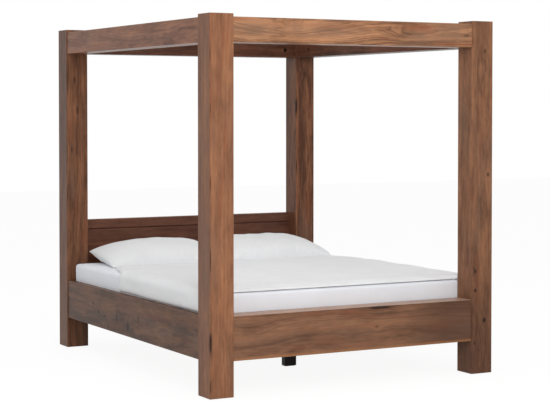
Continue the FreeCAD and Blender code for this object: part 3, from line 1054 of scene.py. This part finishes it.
class BED_OT_duvet(bpy.types.Operator):
    """Make the duvet, laid flat and hanging over both sides"""

    bl_idname = "bed.duvet"
    bl_label = "Duvet"
    side_end = 0.206
    side_blend = 0.11
    bend = 0.016
    gap = 0.0006
    hem_gain = 0.0035
    hem_dip = 0.004
    hem_dip_middle = 0.04
    hem_dip_length = 0.15
    toe_droop = 0.004
    toe_length = 0.05
    thickness = 0.0200
    edge_width = 0.009
    edge_gape = 0.0035
    lift = 0.0004
    side_clearance = 0.0008
    pressure = 1.0
    cap = 0.005
    stretch = 0.01

    def execute(self, context):
        look = context.scene.bed.bedding
        low, high = (np.array(corner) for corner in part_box("duvet"))
        spacing = look.duvet_spacing * 1
        top, bottom = self.layers(low, high, spacing)
        points, faces = closed_pair(top, bottom)
        made = linen("duvet_cover", look.cloth, scaled(look.cloth, 0.965), 0.6)
        piece = make_piece("duvet_quilt", points, faces, made, "duvet")
        sheet_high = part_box("fitted_sheet")[1]
        floor = sheet_high.z + self.lift
        inside = np.abs(points[:, 0]) < sheet_high.x - 0.02
        rows, columns = top.shape[:2]
        index = np.arange(rows * columns).reshape(rows, columns)
        border = np.concatenate([index[0], index[-1], index[:, 0], index[:, -1]])
        resting = np.flatnonzero(inside & (points[:, 2] < floor + 0.002))
        held = np.union1d(border, resting)
        points = inflate(piece, held, self.pressure, self.cap, self.stretch)
        x, z = points[:, 0], points[:, 2]
        points[:, 2] = np.where(inside, np.maximum(z, floor), z)
        outside = np.sign(x) * np.maximum(np.abs(x), sheet_high.x + self.side_clearance)
        points[:, 0] = np.where(points[:, 2] < floor - 0.03, outside, x)
        finish_padding(piece, points, "duvet")
        return {"FINISHED"}

    def layers(self, low, high, spacing):
        """Upper and lower skins of the duvet.

        Across, it lies flat on the mattress, rolls over a quarter circle at each edge and
        hangs to the hem. Along, it runs from the foot to the head edge, which comes forward
        over the rolled sides, so that the hanging parts end in an upright edge. Its thickness
        rounds off towards the edges as a quarter ellipse and grows inwards with soft puffs.
        """
        sheet_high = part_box("fitted_sheet")[1]
        base = sheet_high.z + self.gap
        flat_half = sheet_high.x + self.gap - self.bend
        drop = base - self.bend - low[2] + self.hem_gain
        arc = self.bend * np.pi / 2
        half = flat_half + arc + drop
        rows, columns = int((high[1] - low[1]) / spacing), int(2 * half / spacing)
        along, across = lattice(0, rows, columns)
        along = 0.5 - 0.5 * np.sin((0.5 - along) * np.pi) * 0.22 - (0.5 - along) * 0.78
        across = crowded(across, 0.12)

        s = np.abs(across) * half
        foot, head_edge = low[1] - 0.003, high[1] - 0.002
        over_side = smooth_step(s, flat_half - self.side_blend, flat_half + arc)
        head = head_edge - (high[1] - self.side_end) * over_side
        y = foot + along * (head - foot)
        from_dip = (y - self.hem_dip_middle) / self.hem_dip_length
        s = s - self.hem_dip * np.exp(-(from_dip ** 2)) * smooth_step(s, flat_half, half)
        rolled = np.clip(s - flat_half, 0, arc) / self.bend
        x = np.minimum(s, flat_half) + self.bend * np.sin(rolled)
        hang = np.maximum(s - flat_half - arc, 0)
        toe = np.clip((low[1] + self.toe_length - y) / self.toe_length, 0, 1)
        z = base - self.bend * (1 - np.cos(rolled)) - hang
        z = z - self.toe_droop * toe ** 2 * np.cos(rolled)
        sideways = np.sign(across)
        rest = np.stack([sideways * x, y, z], axis=-1)
        normal = np.stack([sideways * np.sin(rolled), np.zeros_like(s), np.cos(rolled)], axis=-1)

        edge = np.minimum((1 - np.abs(across)) * half, np.minimum(y - foot, head - y))
        near = np.clip(1 - edge / self.edge_width, 0, 1)
        blunt = np.sqrt(np.maximum(1 - near ** 2, 0))
        flat_place = np.stack([sideways * s, y], axis=-1)
        puff = 1 + 0.10 * waves(flat_place, 11, 8.0) + 0.06 * waves(flat_place, 12, 21.0)
        soft = 1 - 0.3 * np.exp(-edge / 0.06)
        thick = self.thickness * blunt * soft * np.clip(puff, 0.6, 1.12)
        gape = self.edge_gape * (1 - blunt)
        return rest + normal * (gape + thick)[..., None], rest + normal * gape[..., None]


class BED_OT_pillows(bpy.types.Operator):
    """Make the two pillows"""

    bl_idname = "bed.pillows"
    bl_label = "Pillows"
    thickness = 0.168
    upper_share = 0.62
    lower_share = 0.6
    inner_end = (3.6, 0.7)
    outer_end = (2.6, 0.75)
    back_fullness = 2.8
    front_fullness = 2.2
    lift = 0.0004
    front_seam = 0.004
    seam_climb = 0.068
    bow_across = 0.012
    bow_along = 0.05
    pressure = 5.0
    cap = 0.012
    stretch = 0.03

    def execute(self, context):
        look = context.scene.bed.bedding
        spacing = look.pillow_spacing * 1
        for side, seed, outer_side in (("left", 21, -1), ("right", 34, 1)):
            node = f"pillow_{side}"
            low, high = (np.array(corner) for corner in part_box(node))
            top, bottom = self.layers(low, high, spacing, seed, outer_side)
            rows, columns = top.shape[:2]
            corners = (0, columns - 1, (rows - 1) * columns, rows * columns - 1)
            points, faces = closed_pair(top, bottom)
            made = linen(f"pillow_cotton_{side}", look.cloth, scaled(look.cloth, 0.965), 0.55)
            piece = make_piece(f"{node}_case", points, faces, made, node)
            floor = low[2] + self.lift
            resting = np.flatnonzero(points[:, 2] < floor + 0.0006)
            held = np.union1d(corners, resting)
            points = inflate(piece, held, self.pressure, self.cap, self.stretch)
            points[:, 2] = np.maximum(points[:, 2], floor)
            finish_padding(piece, points, node)
        return {"FINISHED"}

    def layers(self, low, high, spacing, seed, outer_side):
        """Upper and lower skins of a plump pillow.

        Across and along run from -1 to 1. The outline's sides bow inwards between the
        corners. The thickness is a product of (1 - |across|^a)^b and (1 - |along|^c)^0.5,
        fuller at the end that lies by the other pillow, and the seam climbs from the front
        edge to the back one.
        """
        size = high - low
        rows, columns = int(size[1] / spacing), int(size[0] / spacing)
        along, across = lattice(-1, rows, columns)
        along, across = crowded(along, 0.35), crowded(across, 0.25)
        middle = (low + high) / 2
        x = middle[0] + across * size[0] / 2 * (1 - self.bow_across * (1 - along ** 2))
        y = middle[1] + along * size[1] / 2 * (1 - self.bow_along * (1 - across ** 2))
        inner = across * outer_side < 0
        power, root = (np.where(inner, *pair) for pair in zip(self.inner_end, self.outer_end))
        fullness = np.where(along > 0, self.back_fullness, self.front_fullness)
        ends = (1 - np.abs(across) ** power) ** root
        body = ends * (1 - np.abs(along) ** fullness) ** 0.5
        flat_place = np.stack([across * size[0] / 2, along * size[1] / 2], axis=-1)
        lumps = 1 + 0.05 * waves(flat_place, seed, 12.0) + 0.02 * waves(flat_place, seed + 1, 40.0)
        thick = self.thickness * body * lumps
        climb = (along + 1) / 2
        seam = low[2] + self.front_seam + self.seam_climb * climb
        upper = seam + thick * self.upper_share * (0.86 + 0.14 * climb)
        lower = np.maximum(seam - thick * self.lower_share, low[2] + self.lift)
        top = np.stack([x, y, upper], axis=-1)
        bottom = np.stack([x, y, lower], axis=-1)
        bottom[[0, -1]] = top[[0, -1]]
        bottom[:, [0, -1]] = top[:, [0, -1]]
        return top, bottom


OPERATORS = (
    BED_OT_stage, BED_OT_posts, BED_OT_canopy, BED_OT_rails, BED_OT_headboard, BED_OT_base,
    BED_OT_hardware, BED_OT_mattress, BED_OT_duvet, BED_OT_pillows,
)


class BED_PT_panel(bpy.types.Panel):
    """The bed's pieces and settings"""

    bl_idname = "BED_PT_panel"
    bl_label = "Four poster bed"
    bl_space_type = "VIEW_3D"
    bl_region_type = "UI"
    bl_category = "Bed"

    def draw(self, context):
        settings = context.scene.bed
        for group in (settings.timber, settings.bedding, settings.stage):
            box = self.layout.box()
            for key in group.bl_rna.properties.keys():
                if key not in ("rna_type", "name"):
                    box.prop(group, key)
        for operator in OPERATORS:
            self.layout.operator(operator.bl_idname)


CLASSES = (
    BedTimberSettings, BedBeddingSettings, BedStageSettings, BedSettings, *OPERATORS, BED_PT_panel,
)


def register():
    for made in CLASSES:
        bpy.utils.register_class(made)
    bpy.types.Scene.bed = PointerProperty(type=BedSettings)


def unregister():
    del bpy.types.Scene.bed
    for made in reversed(CLASSES):
        bpy.utils.unregister_class(made)


def main():
    register()
    for operator in OPERATORS:
        group, name = operator.bl_idname.split(".")
        getattr(getattr(bpy.ops, group), name)()


if __name__ == "__main__":
    main()
